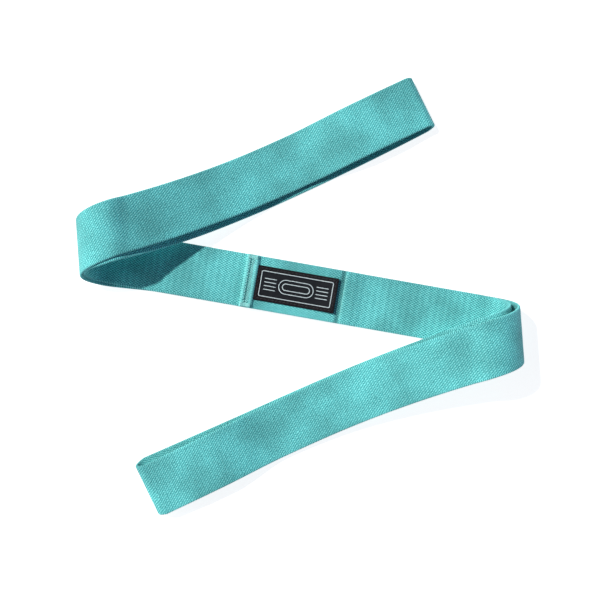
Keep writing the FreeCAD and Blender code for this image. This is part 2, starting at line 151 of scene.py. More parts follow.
class Side:
    """One end of the band: its fold, its outer run and its hairpin."""

    def __init__(self, name):
        for key, number in SIDES[name].items():
            setattr(self, key, number)
        self.name = name
        heading, after = FOLD_HEADINGS[name]
        self.before = heading_vector(heading)
        out = heading_vector(after)
        self.outward = unit(self.before - out)
        self.along = unit(self.before + out)
        across = np.array([-self.before[1], self.before[0]])
        self.ca = self.before @ self.outward
        self.sa = self.before @ self.along
        self.wc = across @ self.outward
        self.wu = across @ self.along
        self.start = np.array([LABEL_X, LABEL_Y]) + self.before * self.reach
        half = self.length / 2
        turns = (MIDDLE_HEADING - FOLD_TURN, END_HEADING - MIDDLE_HEADING)
        self.exits = [
            self.start + self.along * (math.pi * r * self.sa / self.ca) for r in self.radii
        ]
        self.arcs = [(self.exits[0], math.radians(after), math.radians(turns[0]), half)]
        point, angle = self.arc_point(np.array(half), self.arcs[0])
        self.arcs.append((point, float(angle), math.radians(turns[1]), half))
        self.levels = (OUTER_LEVEL, INNER_LEVEL)
        step = self.exits[1] - self.exits[0]
        self.lead = (0.0, float(step @ out))
        self.shift = float(step @ np.array([-out[1], out[0]]))
        self.fold_length = [math.pi * r / self.ca for r in self.radii]

    def cut(self, ply):
        """Where a fold's ribbon meets its run's, past the start of the fold."""
        return self.fold_length[ply] - self.lead[ply] + CUT_AFTER_FOLD

    @staticmethod
    def arc_point(distance, arc):
        point, angle, turn, length = arc
        last = angle + turn * distance / length
        step = np.stack([np.sin(last) - math.sin(angle), math.cos(angle) - np.cos(last)], -1)
        return point + step * (length / turn), last

    def plan(self, distance):
        """Point and heading of the run's middle line at distances from the fold."""
        half = self.length / 2
        first, angle_first = self.arc_point(distance, self.arcs[0])
        second, angle_second = self.arc_point(distance - half, self.arcs[1])
        near = distance < half
        angle = np.where(near, angle_first, angle_second)
        return np.where(near[..., None], first, second), angle

    def height(self, ply, distance):
        """Height of a ply's middle: down from the fold, then up again where the loop opens."""
        top = self.levels[ply] + 2 * self.radii[ply]
        if ply == 0:
            droop = END_DROOP * smooth_step((self.length - distance) / DROOP_RUN)
            low, settled, end = TOUCH_HEIGHT, self.touch, self.end_height + droop
        else:
            low, settled, end = OUTER_LEVEL, self.length * self.slack, OUTER_LEVEL
        part = np.clip(distance, 0.0, None) / settled
        fallen = (top - low) * smooth_step(part ** SAG_POWER)
        return top - fallen + (end - low) * smooth_step((distance - settled) / OPEN_RUN)

    def offset(self, ply, distance):
        """How far a ply lies to the side of the run's middle line."""
        if ply == 0:
            return np.zeros_like(distance)
        part = np.clip(distance / self.length, 0.0, 1.0)
        bow = self.bow * 4 * part * (1 - part)
        return self.shift * (1 - part) + self.end_shift * part + bow

    def run_point(self, ply, distance, v):
        point, angle = self.plan(distance)
        left = np.stack([-np.sin(angle), np.cos(angle)], -1)
        plan = point + left * (self.offset(ply, distance) - v)[..., None]
        return np.concatenate([plan, self.height(ply, distance)[..., None]], -1)

    def ply_point(self, ply, s, v):
        """Middle of a ply, s past the start of the fold and v across the strip."""
        radius, low = self.radii[ply], self.levels[ply]
        start, rise, end, fall = DRIFT_SPAN[ply]
        v = v + self.drift[ply] * smooth_step((s - start) / rise) * smooth_step((end - s) / fall)
        a = s * self.ca + v * self.wc
        b = s * self.sa + v * self.wu
        turn = np.clip(a / radius, 0.0, math.pi)
        bulge = radius * self.squeeze[ply] * np.sin(turn)
        out = bulge + np.minimum(a, 0.0) - np.maximum(a - math.pi * radius, 0.0)
        plan = self.start + self.outward * out[..., None] + self.along * b[..., None]
        height = low + radius * (1 - np.cos(turn))
        folded = np.concatenate([plan, height[..., None]], -1)
        run = self.run_point(ply, s - self.fold_length[ply] + self.lead[ply], v)
        share = smooth_step((a - math.pi * radius) / EXIT_BLEND)[..., None]
        return folded * (1 - share) + run * share

    def hairpin_point(self, angle, v):
        """Middle of the strip around the end of the loop, angle 0 at the upper ply."""
        radius = (self.end_height - OUTER_LEVEL) / 2
        point, heading = self.plan(np.array(self.length))
        ahead = np.array([math.cos(heading), math.sin(heading)])
        left = np.array([-ahead[1], ahead[0]])
        sideways = (self.end_shift * angle / math.pi - v)[..., None]
        plan = point + ahead * (radius * np.sin(angle))[..., None] + left * sideways
        height = OUTER_LEVEL + radius * (1 + np.cos(angle))
        return np.concatenate([plan, height[..., None]], -1)


# ---------------------------------------------------------------- ribbons


def cross_section():
    """The outline of a cut across the webbing: offsets across it and through it."""
    edge = WIDTH / 2 - THICK / 2
    flat = np.linspace(-edge, edge, FLAT_POINTS)
    around = np.linspace(math.pi / 2, -math.pi / 2, ROUND_POINTS + 2)[1:-1]
    right = np.stack([edge + THICK / 2 * np.cos(around), THICK / 2 * np.sin(around)], -1)
    top = np.stack([flat, np.full_like(flat, THICK / 2)], -1)
    outline = np.concatenate([top, right, -top, -right])
    return outline[:, 0], outline[:, 1]


def mesh_object(name, points, faces):
    mesh = bpy.data.meshes.new(name)
    mesh.from_pydata([tuple(p) for p in points * MM], [], faces)
    mesh.validate()
    mesh.update()
    mesh.polygons.foreach_set("use_smooth", [True] * len(mesh.polygons))
    piece = bpy.data.objects.new(name, mesh)
    bpy.context.scene.collection.objects.link(piece)
    return piece


def tube_faces(count, around, closed=False):
    """Quads of a swept outline, with a cap at each end unless it closes on itself."""
    faces = []
    for i in range(count if closed else count - 1):
        a, b = i * around, (i + 1) % count * around
        for j in range(around):
            k = (j + 1) % around
            faces.append((a + j, a + k, b + k, b + j))
    if not closed:
        last = (count - 1) * around
        faces.append(tuple(range(around - 1, -1, -1)))
        faces.append(tuple(range(last, last + around)))
    return faces


def sharpen_caps(mesh):
    """The ends of a ribbon stay crisp, so that lengths that meet are shaded as one."""
    sharp = mesh.attributes.new("sharp_edge", "BOOLEAN", "EDGE")
    caps = set()
    for face in mesh.polygons:
        if len(face.vertices) > 4:
            caps.update(face.edge_keys)
            face.use_smooth = False
    for edge in mesh.edges:
        if edge.key in caps:
            sharp.data[edge.index].value = True


def add_numbers(piece, name, numbers):
    attribute = piece.data.attributes.new(name, "FLOAT", "POINT")
    attribute.data.foreach_set("value", numbers.astype(np.float32))


def ribbon(name, surface, s, strip_s, pattern, outside, thickness=None):
    """A closed ribbon. surface(s, v) gives the middle of the strip, and outside is +1 where
    the cross product of the directions along s and v points out of the loop, and -1 elsewhere.
    strip_s is the place along the whole band, and pattern is the face of the weave."""
    across, through = cross_section()
    grid_s, grid_v = np.meshgrid(s, across, indexing="ij")
    edge = np.clip((np.abs(across) - WIDTH / 2 + THICK) / THICK, 0.0, 1.0)
    loops = np.cos(2 * math.pi * strip_s / SELVEDGE_PITCH)[:, None] * edge[None, :]
    wide = grid_v + np.sign(grid_v) * SELVEDGE_LOOP * loops
    middle = surface(grid_s, wide)
    ahead = surface(grid_s + SLOPE_STEP, wide) - surface(grid_s - SLOPE_STEP, wide)
    beside = surface(grid_s, wide + SLOPE_STEP) - surface(grid_s, wide - SLOPE_STEP)
    normal = unit(np.cross(ahead, beside)) * outside
    depth = np.broadcast_to(through, grid_s.shape)
    if thickness is not None:
        depth = depth * thickness[:, None]
    points = middle + normal * depth[..., None]
    faces = tube_faces(len(s), len(across))
    if outside > 0:
        faces = [face[::-1] for face in faces]
    piece = mesh_object(name, points.reshape(-1, 3), faces)
    sharpen_caps(piece.data)
    strip = np.zeros((*grid_s.shape, 3))
    strip[..., 0] = strip_s[:, None] * MM
    strip[..., 1] = across[None, :] * MM
    strip[..., 2] = np.broadcast_to(pattern, len(s))[:, None]
    attribute = piece.data.attributes.new("strip", "FLOAT_VECTOR", "POINT")
    attribute.data.foreach_set("vector", strip.reshape(-1).astype(np.float32))
    return piece


def stations(first, last):
    """Places for the cuts along a ribbon."""
    return np.linspace(first, last, max(2, int(round(abs(last - first) / STATION)) + 1))


SEAM_TURN = LABEL_X - SEAM_LEFT      # the turned edge
SEAM_TAIL = LABEL_X + SEAM_RIGHT     # over the cut end below
PATH_STEP = 0.1
TURN_POINTS = 40
TURN_HIGHLIGHT = 0.4        # painted highlight where the strip is turned back, on the edge that faces the light
STEP_UP = (3.2, 2.8)   # how far before the turned edge the strip starts up on it, and the length

# Features across the seam, each with its height, middle, half width and shape (2 for a round
# hump, 4 for one with a flat top).
SEAM_RELIEF = (
    (0.26, SEAM_TAIL - 0.6, 0.5, 2),
    (-0.50, SEAM_TAIL - 2.9, 2.0, 2),
    (-0.15, SEAM_TURN + 5.0, 1.8, 4),
    (0.35, SEAM_TURN + 8.9, 1.0, 2),
)
SEAM_DRAWN_IN = ((0.45, SEAM_TURN + 5.1, 2.2, 4), (0.28, SEAM_TAIL - 2.9, 2.0, 2))
# Painted light across the seam, in the same columns, the first being its strength: painted
# highlight on the turned edge and the two ridges, which face the light, and painted shade in the
# sewn channel and in the dip beside the label, where the label's shadow falls.
SEAM_PAINTED_LIGHT = (
    (0.60, SEAM_TURN + 1.2, 1.8, 4),
    (0.55, SEAM_TURN + 9.0, 1.0, 2),
    (0.35, SEAM_TAIL - 0.8, 0.4, 2),
    (-0.75, SEAM_TURN + 5.2, 2.2, 4),
    (-0.60, SEAM_TAIL - 3.6, 2.4, 4),
)


def humps(x, features):
    return sum(
        height * np.exp(-(np.abs((x - middle) / width) ** power))
        for height, middle, width, power in features
    )


def seam_level(x):
    """Height of the middle of the strip where it passes over the seam."""
    over_tail = smooth_step((SEAM_TAIL + DESCENT_START + DESCENT - x) / DESCENT)
    before, length = STEP_UP
    over_turn = smooth_step((SEAM_TURN + TURNED_EDGE + before - x) / length)
    height = INNER_LEVEL + (SEAM_LEVEL - INNER_LEVEL) * over_tail
    return height + (TURNED_LEVEL - SEAM_LEVEL) * over_turn + humps(x, SEAM_RELIEF)


def seam_thickness(x):
    """The stitching draws the strip in between the two ridges of the turned edge."""
    return 1 - humps(x, SEAM_DRAWN_IN)


def seam_painted_light(x):
    """Painted highlight on the ridges and the turned edge, which face the light, and painted
    shade in the sewn channel and in the dip beside the label.
    """
    return humps(x, SEAM_PAINTED_LIGHT)


def seam_top(x):
    return seam_level(x) + THICK / 2 * seam_thickness(x)


def seam_path():
    """The strip's path through the seam, in plan x and height, from the inner ply on the
    right, over the cut end and under the label, to the turned edge and back under it. With it
    go the strip's share of its full thickness, its painted highlight and shade, and the length
    so far."""
    bend = (TURNED_LEVEL - SEAM_LEVEL) / 2
    turn_x = SEAM_TURN + bend + THICK / 2
    xs = np.arange(SEAM_TAIL + SEAM_REACH, turn_x, -PATH_STEP)
    angles = np.linspace(0, math.pi, TURN_POINTS)[1:]
    turn_xs = turn_x - bend * np.sin(angles)
    turn_zs = SEAM_LEVEL + bend * (1 + np.cos(angles))
    back = np.arange(turn_x + PATH_STEP, SEAM_TURN + TURNED_EDGE, PATH_STEP)
    path_x = np.concatenate([xs, turn_xs, back])
    path_z = np.concatenate([seam_level(xs), turn_zs, np.full_like(back, SEAM_LEVEL)])
    squash = np.concatenate([seam_thickness(xs), np.ones(len(angles) + len(back))])
    turn_highlight = np.full(len(angles), TURN_HIGHLIGHT)
    pale = np.concatenate([seam_painted_light(xs), turn_highlight, np.zeros(len(back))])
    length = np.concatenate([[0], np.cumsum(np.hypot(np.diff(path_x), np.diff(path_z)))])
    return path_x, path_z, squash, pale, length


WEAVE_TWILL, WEAVE_DOTS = 0.0, 1.0
webbing = []           # each ribbon with its flat size


def make_fold_ribbon(side, ply, far_end, name, replaced):
    """A ribbon from the middle run, through a fold, to just past it."""
    s = stations(-far_end, side.cut(ply))
    pattern, outside = ((WEAVE_TWILL, -1), (WEAVE_DOTS, 1))[ply]

    def surface(along, v):
        return side.ply_point(ply, along, v)

    piece = ribbon(name, surface, s, side.reach + s, pattern, outside)
    finish_fold(piece, side, ply, s, replaced)


def finish_fold(piece, side, ply, s, replaced):
    """The ribbon's placement is baked into its points, and it is dressed. The heights of its two
    edges where it meets its run are worked out but not used."""
    cut = np.array([side.cut(ply)])
    edges = [side.ply_point(ply, cut, np.array([v]))[0, 2] for v in (-WIDTH / 2, WIDTH / 2)]
    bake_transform(piece)
    dress(piece, s, replaced)


def dress(piece, s, replaced):
    """What every ribbon has: the CAD nodes it stands for and its flat size."""
    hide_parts(*[part + kind for part in replaced for kind in ("_webbing", "_rubber")])
    webbing.append((piece, (WIDTH * MM, float(s[-1] - s[0]) * MM)))


def make_seam_ribbon(side):
    """The inner ply of the right half, which climbs over the cut end, passes under the label
    and ends in a turned edge."""
    path_x, path_z, squash, pale, length = seam_path()
    joint = side.start[0] - path_x[0]

    def surface(along, v):
        run = -along - joint
        seam = [np.interp(run, length, path_x), LABEL_Y + v, np.interp(run, length, path_z)]
        before = (-along < joint)[..., None]
        return np.where(before, side.ply_point(1, along, v), np.stack(seam, -1))

    s = stations(-(joint + length[-1] - PATH_STEP), side.cut(1))
    thickness = np.interp(-s - joint, length, squash)
    piece = ribbon("webbing_inner_right", surface, s, side.reach + s, WEAVE_DOTS, 1, thickness)
    # Painted light along the seam: above 0 a painted highlight, below 0 painted shade.
    painted_light_at_stations = np.interp(-s - joint, length, pale)
    add_numbers(piece, "pale", np.repeat(painted_light_at_stations, len(cross_section()[0])))
    finish_fold(piece, side, 1, s, ["middle_inner_right", "seam_overlap", "lower_fold_inner"])


def make_loop(side):
    """An outer run as one ribbon: out along its outer ply, round the hairpin and back."""
    name = side.name
    radius = (side.end_height - OUTER_LEVEL) / 2
    turn_start, turn_end = side.length, side.length + math.pi * radius
    out = stations(CUT_AFTER_FOLD, side.length)
    around = stations(0, math.pi * radius)[1:-1]
    back = stations(side.length, CUT_AFTER_FOLD)
    travel = np.concatenate([out, turn_start + around, turn_end + side.length - back])

    def surface(t, v):
        outer = side.ply_point(0, t + side.fold_length[0], v)
        hairpin = side.hairpin_point(np.clip((t - turn_start) / radius, 0, math.pi), v)
        home = turn_end + side.length - t
        inner = side.ply_point(1, home + side.fold_length[1] - side.lead[1], v)
        result = np.where((t <= turn_start)[..., None], outer, hairpin)
        return np.where((t >= turn_end)[..., None], inner, result)

    first = side.reach + side.fold_length[0]
    wait, change = FACE_CHANGE
    pattern = smooth_step((travel - turn_end - wait) / change)
    piece = ribbon(f"webbing_{name}_loop", surface, travel, first + travel, pattern, -1)
    ends, _ = side.plan(np.array([side.length * 0.5, side.length - END_LEG]))
    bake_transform(piece)
    parts = ("run_outer", "run_inner", "stretch_outer", "stretch_inner", "hairpin")
    dress(piece, travel, [f"{name}_{part}" for part in parts])


upper, lower = Side("upper"), Side("lower")
tail_reach = upper.reach + SEAM_RIGHT
make_fold_ribbon(upper, 0, upper.reach, "webbing_outer_left", ["middle_outer", "upper_fold_outer"])
make_fold_ribbon(lower, 0, lower.reach, "webbing_outer_right", ["lower_fold_outer"])
make_fold_ribbon(
    upper, 1, tail_reach, "webbing_inner_left", ["middle_inner_left", "upper_fold_inner"]
)
make_seam_ribbon(lower)
make_loop(upper)
make_loop(lower)

# ---------------------------------------------------------------- label and stitching


def label_lift(x):
    """The label's right edge curls up a little."""
    part = (x - LABEL_X - CURL_START) / (LABEL_LENGTH / 2 - CURL_START)
    return LABEL_CURL * smooth_step(part) ** 2


def edge_spacing(length):
    """Coordinates across the label's face, closer together at its rounded edges."""
    near = [0.0, 0.05, 0.12, 0.22, 0.36, 0.55, 0.8]
    count = int((length - 2 * LABEL_RIM) / LABEL_STEP)
    inner = np.linspace(LABEL_RIM, length - LABEL_RIM, count)
    return np.concatenate([near, inner, length - np.array(near[::-1])]) - length / 2


def make_label():
    """The moulded patch: a ribbed border round a smooth, slightly sunken field."""
    x, y = np.meshgrid(edge_spacing(LABEL_LENGTH), edge_spacing(LABEL_WIDTH), indexing="ij")
    half_x, half_y = LABEL_LENGTH / 2, LABEL_WIDTH / 2
    over_x = np.maximum(np.abs(x) - half_x + LABEL_CORNER, 0)
    over_y = np.maximum(np.abs(y) - half_y + LABEL_CORNER, 0)
    reach = np.maximum(np.hypot(over_x, over_y), 1e-9)
    square = np.maximum(over_x, over_y)
    both = (over_x > 0) & (over_y > 0)
    pull = np.where(both, square / reach, 1.0)
    x = x - np.sign(x) * over_x * (1 - pull)
    y = y - np.sign(y) * over_y * (1 - pull)
    inside = LABEL_CORNER - square
    inside = np.where(square > 0, inside, np.minimum(half_x - np.abs(x), half_y - np.abs(y)))
    near = np.maximum(LABEL_ROUND - inside, 0)
    drop = LABEL_ROUND - np.sqrt(np.maximum(LABEL_ROUND**2 - near**2, 0))
    field = smooth_step((inside - LABEL_BORDER + 0.3) / 0.6)
    ribs = np.cos(2 * math.pi * (x * RIB_SLANT[0] - y * RIB_SLANT[1]) / RIB_PITCH)
    fade = smooth_step((inside - 0.25) / 0.6) * (1 - field)
    z = LABEL_TOP - drop + RIB_HEIGHT * ribs * fade - FIELD_DEPTH * field
    z = z + label_lift(x + LABEL_X)
    top = np.stack([x + LABEL_X, y + LABEL_Y, z], -1)
    nx, ny = x.shape
    number = np.arange(nx * ny).reshape(nx, ny)
    faces = [
        (number[i, j], number[i + 1, j], number[i + 1, j + 1], number[i, j + 1])
        for i in range(nx - 1)
        for j in range(ny - 1)
    ]
    rim = np.concatenate([number[:-1, 0], number[-1, :-1], number[:0:-1, -1], number[0, :0:-1]])
    points = top.reshape(-1, 3)
    foot = points[rim].copy()
    foot[:, 2] = LABEL_BASE + label_lift(foot[:, 0])
    count = len(rim)
    for i in range(count):
        k = (i + 1) % count
        faces.append((rim[i], nx * ny + i, nx * ny + k, rim[k]))
    faces.append(tuple(nx * ny + i for i in range(count - 1, -1, -1)))
    faces = [tuple(int(i) for i in face) for face in faces]
    piece = mesh_object("label_face", np.concatenate([points, foot]), faces)
    sharpen_caps(piece.data)
    rib = (ribs * fade).reshape(-1) * 0.5 + 0.5
    add_numbers(piece, "field", np.concatenate([field.reshape(-1), np.zeros(count)]))
    add_numbers(piece, "rib", np.concatenate([rib, np.zeros(count)]))
    return piece


def swept(name, paths, outline, closed=False, taper=0):
    """One piece made of solids swept along paths. outline holds the offsets to the side and
    upwards of each point around one, and taper is how many rings thin down to a round tip."""
    sideways, upwards = outline
    points, faces = [], []
    for path in paths:
        count = len(path)
        closing = np.roll(path, -1, 0) - np.roll(path, 1, 0)
        ahead = unit(closing if closed else np.gradient(path, axis=0))
        aside = unit(np.cross(ahead, [0.0, 0.0, 1.0]))
        above = np.cross(aside, ahead)
        share = np.ones(count)
        if taper:
            rank = np.minimum(np.arange(count), np.arange(count)[::-1])
            share = np.sqrt(np.clip((rank + 0.25) / taper, 0, 1))
        ring = aside[:, None] * sideways[None, :, None] + above[:, None] * upwards[None, :, None]
        base = sum(len(p) for p in points)
        points.append((path[:, None] + ring * share[:, None, None]).reshape(-1, 3))
        for face in tube_faces(count, len(sideways), closed):
            faces.append(tuple(base + i for i in face))
    return mesh_object(name, np.concatenate(points), faces)


def round_outline(radius):
    angle = np.linspace(0, 2 * math.pi, 8, endpoint=False)
    return radius * np.cos(angle), radius * np.sin(angle)


def line_outline():
    """Half-round moulded line, sunk a little into the label."""
    angle = np.linspace(0, math.pi, 9)
    sideways = np.concatenate([LINE_WIDTH / 2 * np.cos(angle), [-LINE_WIDTH / 2, LINE_WIDTH / 2]])
    upwards = np.concatenate([LINE_HEIGHT * np.sin(angle), [-LINE_FOOT, -LINE_FOOT]])
    return sideways, upwards


def rounded_loop(length, width, radius):
    """Points round a level loop with straight sides and rounded corners."""
    pieces = []
    for turn, (sx, sy) in enumerate(((1, 1), (-1, 1), (-1, -1), (1, -1))):
        angle = np.linspace(0, math.pi / 2, 10) + turn * math.pi / 2
        corner = np.array([sx * (length / 2 - radius), sy * (width / 2 - radius)])
        pieces.append(corner + radius * np.stack([np.cos(angle), np.sin(angle)], -1))
    corners = np.concatenate(pieces)
    closed = np.vstack([corners, corners[:1]])
    path = []
    for a, b in zip(closed[:-1], closed[1:]):
        steps = max(1, int(np.linalg.norm(b - a) / 0.8))
        path.append(a + (b - a) * (np.arange(steps) / steps)[:, None])
    return np.concatenate(path)


def on_label(plan):
    """A level path laid on the label's field, sunk a little into it."""
    x = plan[:, 0] + LABEL_X
    return np.stack([x, plan[:, 1] + LABEL_Y, LABEL_TOP - 0.08 + label_lift(x)], -1)


def make_label_lines():
    """The raised frame, and a plain emblem of nested loops with level bars beside them."""
    inset = 2 * FRAME_INSET + LINE_WIDTH
    frame_path = rounded_loop(LABEL_LENGTH - inset, LABEL_WIDTH - inset, 1.2)
    around = swept("label_frame_line", [on_label(frame_path)], line_outline(), closed=True)
    length, radius, bar, pitch = EMBLEM
    loops = []
    for i in range(2):
        reach = radius - pitch * i - LINE_WIDTH / 2
        loop = rounded_loop(length - 2 * pitch * i - LINE_WIDTH, 2 * reach, reach - 0.01)
        loops.append(on_label(loop))
    emblem = swept("label_emblem_loops", loops, line_outline(), closed=True)
    bars = []
    for side in (-1, 1):
        middle = side * (length / 2 + pitch + bar / 2 - 2.0)
        for i in (-1.5, -0.5, 0.5, 1.5):
            x = middle + np.linspace(0.8 - bar / 2, bar / 2 - 0.8, 17)
            bars.append(on_label(np.stack([x, np.full_like(x, i * pitch)], -1)))
    lines = swept("label_emblem_bars", bars, line_outline(), taper=1)
    return around, emblem, lines


LABEL_THREAD, SEAM_THREAD, BARTACK_THREAD = 0.26, 0.33, 0.30  # radii of the threads


def label_surface(x):
    return LABEL_TOP + 0.1 + label_lift(x)


def stitch(start, end, lift, radius):
    """One stitch from start to end, its ends drawn down into the cloth."""
    t = np.linspace(0, 1, 9)
    plan = np.array(start) + (np.array(end) - np.array(start)) * t[:, None]
    rise = radius * (1.9 * np.sqrt(np.sin(math.pi * t)) - 1.1)
    return np.stack([plan[:, 0], plan[:, 1], lift(plan[:, 0]) + rise], -1)


def make_label_threads():
    """The thread that holds the patch, sewn all the way round near its edge."""
    inset, pitch, reach = 1.9, 3.2, 1.1
    half_x, half_y = LABEL_LENGTH / 2 - inset, LABEL_WIDTH / 2 - inset
    paths = []
    for half, other, turned in ((half_x, half_y, False), (half_y, half_x, True)):
        count = int(2 * half / pitch)
        for i in range(count):
            middle = (i - (count - 1) / 2) * pitch
            for side in (-1, 1):
                ends = [np.array([middle + r, side * other]) for r in (-reach, reach)]
                if turned:
                    ends = [end[::-1] for end in ends]
                ends = [end + (LABEL_X, LABEL_Y) for end in ends]
                paths.append(stitch(*ends, label_surface, LABEL_THREAD))
    return swept("label_stitch_thread", paths, round_outline(LABEL_THREAD), taper=2)


def make_seam_threads():
    """A straight row in the channel of the turned edge, slanted stitches on its inner ridge,
    and a straight row over the cut end below."""
    margin, row_pitch, ridge_pitch = 3.8, 2.9, 1.75
    half = WIDTH / 2 - margin
    rows = [
        (x, x + 0.25, y, y + 2.3)
        for x in (SEAM_TURN + 3.4, SEAM_TAIL - 1.6)
        for y in LABEL_Y + np.arange(-half, half - 2.0, row_pitch)
    ]
    slanted = LABEL_Y + np.arange(-half - 0.5, half - 2.6, ridge_pitch)
    rows += [(SEAM_TURN + 4.8, SEAM_TURN + 8.0, y, y + 3.6) for y in slanted]
    paths = [stitch((x, y), (to_x, to_y), seam_top, SEAM_THREAD) for x, to_x, y, to_y in rows]
    return swept("seam_stitch_thread", paths, round_outline(SEAM_THREAD), taper=2)


def make_bartacks():
    """Dense bars of thread at each selvedge of the turned edge: a zigzag over laid threads."""
    laid, laid_pitch, zigzags, zigzag_pitch, slant, across = 4, 0.8, 15, 0.56, 0.3, 3.4
    paths = []
    for low in (-WIDTH / 2 + 0.5, WIDTH / 2 - 0.5 - across):
        for i in range(laid):
            y = LABEL_Y + low + 0.5 + i * laid_pitch
            x = np.linspace(SEAM_TURN + 1.2, SEAM_TURN + 10.0, 25)
            top = seam_top(x) + 0.25 + 0.1 * np.sin(x * 3 + i)
            top[[0, -1]] -= 0.6
            paths.append(np.stack([x, np.full_like(x, y), top], -1))
        for i in range(zigzags):
            x = SEAM_TURN + 1.6 + i * zigzag_pitch
            tilt = slant if i % 2 else -slant
            ends = ((x - tilt, LABEL_Y + low), (x + tilt, LABEL_Y + low + across))
            paths.append(stitch(*ends, lambda x: seam_top(x) + 0.5, BARTACK_THREAD))
    return swept("bartack_thread", paths, round_outline(BARTACK_THREAD), taper=2)


label_face = make_label()
frame_line, emblem_loops, emblem_bars = make_label_lines()
label_threads = make_label_threads()
seam_threads = make_seam_threads()
bartacks = make_bartacks()
for piece, slot, replaced in (
    (label_face, "label", ["label_patch"]),
    (frame_line, "label_relief", ["label_frame"]),
    (emblem_loops, "label_relief", ["label_emblem"]),
    (emblem_bars, "label_relief", []),
    (label_threads, "label_thread", ["label_stitches"]),
    (seam_threads, "seam_thread", ["seam_stitches"]),
    (bartacks, "seam_thread", ["seam_bartacks"]),
):
    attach(piece, "middle_run")
    if replaced:
        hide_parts(*replaced)

# ---------------------------------------------------------------- materials


class Nodes:
    """Short calls for building a material's nodes."""

    def __init__(self, name):
        self.material = bpy.data.materials.new(name)
        self.material.use_nodes = True
        self.tree = self.material.node_tree
        self.tree.nodes.clear()
        self.shader = self.add("ShaderNodeBsdfPrincipled")
        output = self.add("ShaderNodeOutputMaterial")
        self.link(self.shader.outputs["BSDF"], output.inputs["Surface"])

    def add(self, kind, **settings):
        node = self.tree.nodes.new(kind)
        for key, value in settings.items():
            setattr(node, key, value)
        return node

    def link(self, source, target):
        self.tree.links.new(source, target)

    def put(self, source, target):
        """A number is set on the socket, and anything else is linked to it."""
        if isinstance(source, (int, float)):
            target.default_value = source
        else:
            self.link(source, target)

    def math(self, operation, first, second=0.0, third=0.0):
        node = self.add("ShaderNodeMath", operation=operation)
        for socket, source in zip(node.inputs, (first, second, third)):
            self.put(source, socket)
        return node.outputs[0]

    def step(self, value, low, high, to_low=0.0, to_high=1.0):
        node = self.add("ShaderNodeMapRange", interpolation_type="SMOOTHSTEP")
        self.put(value, node.inputs["Value"])
        limits = {"From Min": low, "From Max": high, "To Min": to_low, "To Max": to_high}
        for key, number in limits.items():
            self.put(number, node.inputs[key])
        return node.outputs["Result"]

    def noise(self, vector, scale, detail=2.0, roughness=0.5):
        node = self.add("ShaderNodeTexNoise")
        self.link(vector, node.inputs["Vector"])
        node.inputs["Scale"].default_value = scale
        node.inputs["Detail"].default_value = detail
        node.inputs["Roughness"].default_value = roughness
        return node.outputs["Fac"]

    def ramp(self, factor, stops):
        node = self.add("ShaderNodeValToRGB")
        elements = node.color_ramp.elements
        while len(elements) < len(stops):
            elements.new(0.5)
        for element, (position, colour) in zip(elements, stops):
            element.position = position
            element.color = (*colour, 1.0)
        self.link(factor, node.inputs["Fac"])
        return node.outputs["Color"]

    def mix(self, kind, factor, first, second):
        node = self.add("ShaderNodeMix", data_type="RGBA", blend_type=kind)
        self.put(factor, node.inputs["Factor"])
        for name, source in (("A", first), ("B", second)):
            socket = [i for i in node.inputs if i.name == name and i.type == "RGBA"][0]
            if isinstance(source, tuple):
                socket.default_value = (*source, 1.0)
            else:
                self.link(source, socket)
        return [o for o in node.outputs if o.type == "RGBA"][0]

    def bump(self, height, strength, distance):
        node = self.add("ShaderNodeBump")
        node.inputs["Strength"].default_value = strength
        node.inputs["Distance"].default_value = distance
        self.link(height, node.inputs["Height"])
        self.link(node.outputs["Normal"], self.shader.inputs["Normal"])


def principled(nodes, values):
    for key, value in values.items():
        nodes.shader.inputs[key].default_value = value


CELL_ALONG = 3.05 * MM
CELL_ACROSS = 2.08 * MM
WANDER = 1.1 * MM      # how far the rows of the weave stray along the strip
JITTER = 0.5 * MM      # and across it
SELVEDGE_FROM, SELVEDGE_TO = 20.3 * MM, 21.0 * MM  # change from the weave to the selvedge
COTTON = (             # hollow, middle and top of the yarn
    (0.0, (0.030, 0.250, 0.262)),
    (0.5, (0.105, 0.500, 0.500)),
    (1.0, (0.240, 0.760, 0.740)),
)
# colour of the painted highlight on the seam's ridges and turned edge
PAINTED_HIGHLIGHT_COLOUR = (0.26, 0.78, 0.73)


